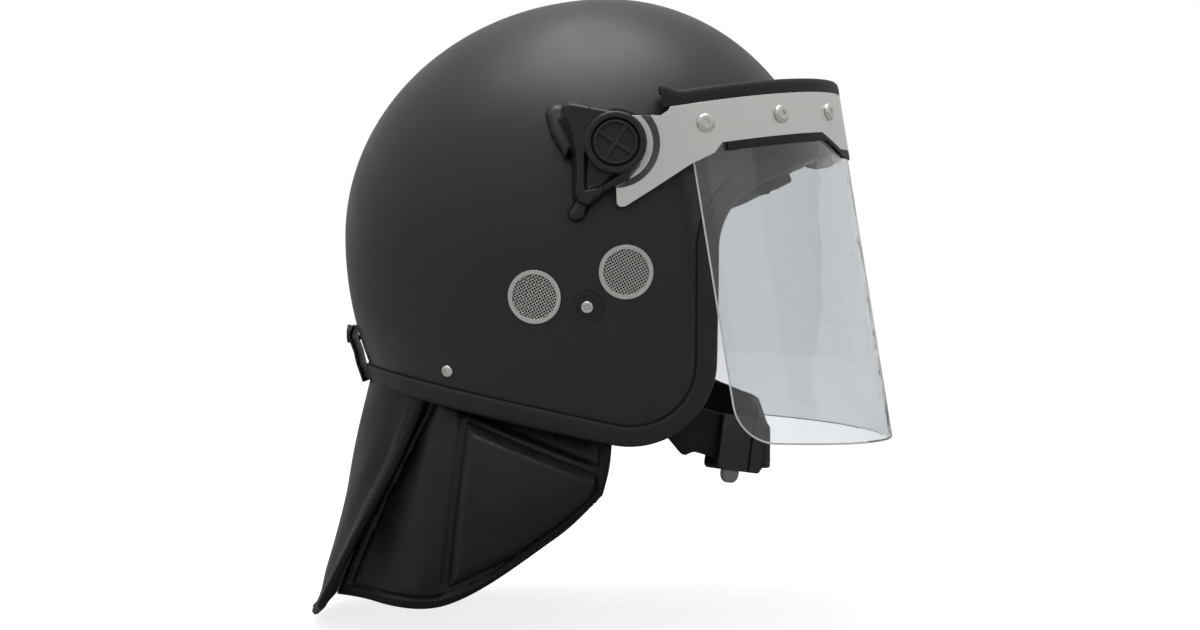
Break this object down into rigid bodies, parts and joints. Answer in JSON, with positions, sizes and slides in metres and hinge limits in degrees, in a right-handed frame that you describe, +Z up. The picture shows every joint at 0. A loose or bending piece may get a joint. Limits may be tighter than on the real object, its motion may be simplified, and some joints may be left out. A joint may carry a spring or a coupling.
{
  "type": "riot helmet",
  "caption": "Riot helmet with a hinged clear visor on a steel band, ear vents, chin strap and padded neck guard.",
  "frame": {"origin": "centre of the wearer's head: on the mid-plane, at the level where the shell is widest", "axes": "+Z up along the head's axis, -Y the way the face looks, +X the wearer's left; the visor turns about X"},
  "size_m": [0.2698, 0.3438, 0.3648],
  "materials": {
    "band_steel": "satin stainless sheet",
    "black_plastic": "black moulded nylon",
    "foam": "black moulded foam",
    "guard_leather": "black coated leather over foam",
    "lens": "clear polycarbonate, 3 mm",
    "pad": "black brushed knit over soft foam",
    "release": "light grey moulded plastic",
    "rubber": "black extruded rubber",
    "screw_steel": "nickel-plated steel",
    "shell": "matt moulded ABS, black",
    "vent_metal": "nickel-plated turned ring",
    "vent_wire": "woven stainless wire",
    "webbing": "black woven webbing"
  },
  "bodies": {
    "helmet": {"outer_shell": "shell", "rim_trim": "rubber", "impact_liner": "foam", "crown_pad": "pad", "brow_pad": "pad", "nape_pad": "pad", "ear_pad_left": "pad", "ear_pad_right": "pad", "ear_vent_rings": "vent_metal", "ear_vent_meshes": "vent_wire", "strap_anchor_washers": "black_plastic", "strap_anchor_screws": "screw_steel", "strap_anchor_nuts": "screw_steel", "pivot_base_left": "black_plastic", "pivot_base_right": "black_plastic", "pivot_housing_left": "black_plastic", "pivot_housing_right": "black_plastic", "pivot_friction_washers": "black_plastic", "pivot_screws": "screw_steel", "chin_strap_left": "webbing", "chin_strap_right": "webbing", "chin_pad": "guard_leather", "buckle_body": "black_plastic", "neck_guard_strip": "black_plastic", "neck_guard_screws": "screw_steel", "strap_retainer_snap_stud": "screw_steel"},
    "visor": {"visor_band": "band_steel", "visor_lens": "lens", "visor_clamp_strip": "band_steel", "visor_lower_gasket": "rubber", "visor_top_seal": "rubber", "visor_rivets": "screw_steel", "visor_rivet_nuts": "screw_steel"},
    "knob_left": {"tension_knob_left": "black_plastic"},
    "knob_right": {"tension_knob_right": "black_plastic"},
    "rear_flap": {"neck_flap_rear": "guard_leather"},
    "left_flap": {"neck_flap_left": "guard_leather", "neck_panel_left": "guard_leather"},
    "right_flap": {"neck_flap_right": "guard_leather", "neck_panel_right": "guard_leather"},
    "retainer": {"strap_retainer_tab": "guard_leather", "strap_retainer_snap_cap": "black_plastic"},
    "release": {"buckle_release_tab": "release"}
  },
  "joints": [
    {"name": "visor_lift", "type": "hinge", "parent": "helmet", "child": "visor", "pos_m": [0, -0.0033, 0.0455], "axis": [-1, 0, 0], "range_deg": [0, 80]},
    {"name": "knob_left_turn", "type": "hinge", "parent": "helmet", "child": "knob_left", "pos_m": [0.128, -0.0033, 0.0455], "axis": [1, 0, 0], "range_deg": [0, 180]},
    {"name": "knob_right_turn", "type": "hinge", "parent": "helmet", "child": "knob_right", "pos_m": [-0.128, -0.0033, 0.0455], "axis": [-1, 0, 0], "range_deg": [0, 180]},
    {"name": "rear_flap_bend", "type": "hinge", "parent": "helmet", "child": "rear_flap", "pos_m": [0, 0.1396, -0.0864], "axis": [1, 0, 0], "range_deg": [0, 25], "stiffness_Nm_per_rad": 1.5},
    {"name": "left_flap_bend", "type": "hinge", "parent": "helmet", "child": "left_flap", "pos_m": [0.06875, 0.0505, -0.10585], "axis": [-0.2305, 0.9516, 0.2031], "range_deg": [0, 20], "stiffness_Nm_per_rad": 1.2},
    {"name": "right_flap_bend", "type": "hinge", "parent": "helmet", "child": "right_flap", "pos_m": [-0.06875, 0.0505, -0.10585], "axis": [-0.2305, -0.9516, -0.2031], "range_deg": [0, 20], "stiffness_Nm_per_rad": 1.2},
    {"name": "retainer_open", "type": "hinge", "parent": "helmet", "child": "retainer", "pos_m": [0, 0.1442, -0.086], "axis": [-1, 0, 0], "range_deg": [0, 110]},
    {"name": "buckle_release", "type": "slide", "parent": "helmet", "child": "release", "axis": [-0.0882, 0.1302, -0.9876], "range_m": [0, 0.005], "stiffness_N_per_m": 600}
  ]
}
